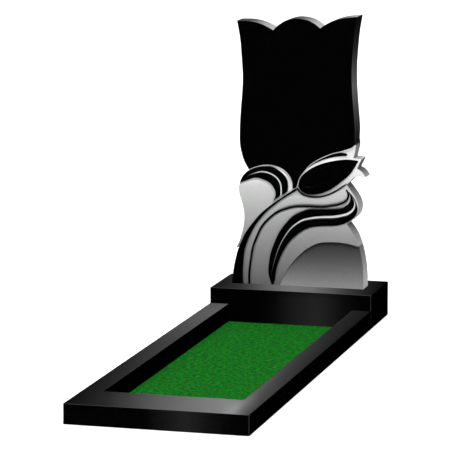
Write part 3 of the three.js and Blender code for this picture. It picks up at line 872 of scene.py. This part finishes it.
# A block's ring in plan and its profile from the ground up over its broken top edge.
def blockShape(node):
    low, high = (np.array(corner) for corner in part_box(node))
    ring = rectangleRing(low[:2], high[:2], blockValues["corner"] * mm)
    profile = [(0, low[2])] + arrisProfile(blockValues["arris"] * mm, high[2], -1)[::-1]
    return low, high, ring, profile


# A block standing on the ground, broken at its top edges and its upright corners.
def plinthBlock():
    low, high, ring, profile = blockShape("plinth")
    # its upright corners take the painted highlight
    return carryRound("plinthBlock", ring, profile, inPlan, cornerHighlightSlots(ring), 0, 0,
                      [polished, cornerHighlightFinish])


# The front kerb, broken all round its top except where the side kerbs butt against it: there
# the weights of its ring let the inset die out.
def frontKerbStone():
    low, high, ring, profile = blockShape("kerb_front")
    bed = turfHigh[0] + blockValues["gap"] * mm
    near = bed - blockValues["blend"] * mm
    back = np.array([(high[0], high[1]), (bed, high[1]), (near, high[1]), (-near, high[1]), (-bed, high[1]),
                     (low[0], high[1])])
    ring = np.vstack([back, ring[ring[:, 1] < (low[1] + high[1]) / 2]])
    weights = np.ones(len(ring))
    weights[[0, 4]] = 0
    weights[[1, 3]] = 0.5
    # the painted highlight on its two front corners
    slots = cornerHighlightSlots(ring) * (ring[:, 1] < low[1] + 10 * mm)  # its two front corners
    return carryRound("frontKerb", ring, profile, inPlan, slots, 0, 0, [polished, cornerHighlightFinish], weights)


# A side kerb: its section with two broken edges carried straight from end to end.
def sideKerbStone(name, node):
    low, high = (np.array(corner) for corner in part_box(node))
    ring = rectangleRing(low[[0, 2]], high[[0, 2]], blockValues["arris"] * mm)
    upper = ring[:len(ring) // 2]
    ring = np.vstack([upper, [(low[0], low[2]), (high[0], low[2])]])
    profile = [(0, high[1]), (0, low[1])]
    flat = np.zeros(len(ring), dtype=int)
    return carryRound(name, ring, profile, lambda x, z, y: inPlan(x, y, z), flat, 0, 0, [polished])


blocks = {
    "plinth": plinthBlock(),
    "kerb_front": frontKerbStone(),
    "kerb_left": sideKerbStone("leftKerb", "kerb_left"),
    "kerb_right": sideKerbStone("rightKerb", "kerb_right"),
}
for node, block in blocks.items():
    shadeSmooth(block, blockValues["smoothAngle"])
    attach(block, "root")
    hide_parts(node)
print("blocks cut")


# the turf

turfValues = {
    "blades": 44000,
    "margin": 3.2,  # between the blades and the bed's edge, in millimetres as all below
    "matHeight": 0.8,
    "footHeight": 0.5,
    "height": (1.2, 3.2),
    "width": (0.9, 1.5),
    "lean": 2.5,
    "seed": 7,
}


# Blades as closed spikes of four triangles: three corners at the foot, at angles a, a + 120 and
# a + 240 degrees and a radius r, and a tip that leans away from the middle of the foot.
def turfBed(values):
    random = np.random.default_rng(values["seed"])
    size = turfHigh - turfLow
    spacing = math.sqrt(size[0] * size[1] / values["blades"])
    across, along = int(size[0] / spacing), int(size[1] / spacing)
    grid = np.stack(np.meshgrid(np.arange(across), np.arange(along)), axis=-1).reshape(-1, 2) + 0.5
    grid += random.uniform(-0.5, 0.5, grid.shape)
    margin = values["margin"] * mm
    spread = (size[:2] - 2 * margin) / (across, along)
    foot = turfLow[:2] + margin + grid * spread
    count = len(foot)
    angle = random.uniform(0, 2 * np.pi, count)[:, None] + np.arange(3) * 2 * np.pi / 3
    radius = random.uniform(*values["width"], count)[:, None] * mm
    corners = np.stack([
        foot[:, :1] + radius * np.cos(angle),
        foot[:, 1:] + radius * np.sin(angle),
        np.full(angle.shape, turfLow[2] + values["footHeight"] * mm),
    ], axis=-1)
    lean = random.normal(0, values["lean"] / 2, (count, 2)).clip(-values["lean"], values["lean"]) * mm
    height = random.uniform(*values["height"], count) * mm
    tip = np.concatenate([foot + lean, (turfLow[2] + height)[:, None]], axis=1)
    tip[:, :2] = tip[:, :2].clip(turfLow[:2], turfHigh[:2])
    vertices = np.concatenate([corners, tip[:, None]], axis=1).reshape(-1, 3)
    pattern = np.array([(0, 2, 1), (0, 1, 3), (1, 2, 3), (2, 0, 3)])
    faces = (np.arange(count)[:, None, None] * 4 + pattern).reshape(-1, 3)
    low, high = turfLow, turfHigh * (1, 1, 0) + (0, 0, turfLow[2] + values["matHeight"] * mm)
    mat = [(x, y, z) for z in (low[2], high[2]) for x, y in
           ((low[0], low[1]), (high[0], low[1]), (high[0], high[1]), (low[0], high[1]))]
    matFaces = np.array([(0, 3, 2, 1), (4, 5, 6, 7), (0, 1, 5, 4), (1, 2, 6, 5), (2, 3, 7, 6),
                         (3, 0, 4, 7)])
    allFaces = faces.tolist() + (matFaces + len(vertices)).tolist()
    return newPiece("turfBed", np.vstack([vertices, mat]), allFaces, np.zeros(len(allFaces)), [green])


turf = turfBed(turfValues)
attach(turf, "root")
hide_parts("turf_bed")
for piece in (headstone, turf, *blocks.values()):
    piece.visible_glossy = False  # the polish mirrors the room and no other stone
print("turf laid:", len(turf.data.polygons), "faces")
